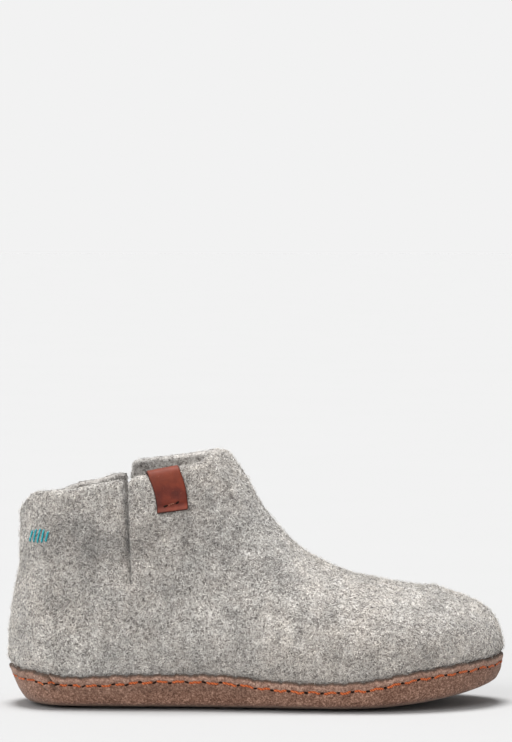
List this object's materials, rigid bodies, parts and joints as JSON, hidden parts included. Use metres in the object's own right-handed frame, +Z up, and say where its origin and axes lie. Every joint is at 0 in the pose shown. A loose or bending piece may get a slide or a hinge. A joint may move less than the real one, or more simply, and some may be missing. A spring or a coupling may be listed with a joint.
{
  "type": "felted wool ankle slipper",
  "caption": "Right felted wool ankle slipper with a slit in each side of the shaft, a suede cup sole stitched round its rim, a felt insole and a leather tab on the outer collar edge.",
  "frame": {"origin": "on the floor, midway between the back of the heel and the tip of the toe and midway across the widest points", "axes": "+X towards the toe, +Y towards the inner (medial) side of the foot, +Z up"},
  "size_m": [0.266, 0.0974, 0.1366],
  "materials": {
    "wool_felt": "thick wet-felted wool, mottled light grey with dark and pale fibres, fuzzy and fully matt",
    "brown_suede": "thick brown suede with a short nap, fully matt, paler along its cut edge",
    "insole_felt": "pressed wool felt, light grey, matt",
    "tab_leather": "reddish brown smooth leather with a faint sheen and darker edges"
  },
  "bodies": {
    "root": {"upper": "wool_felt", "outsole": "brown_suede", "insole": "insole_felt", "side_tab": "tab_leather"}
  },
  "joints": []
}
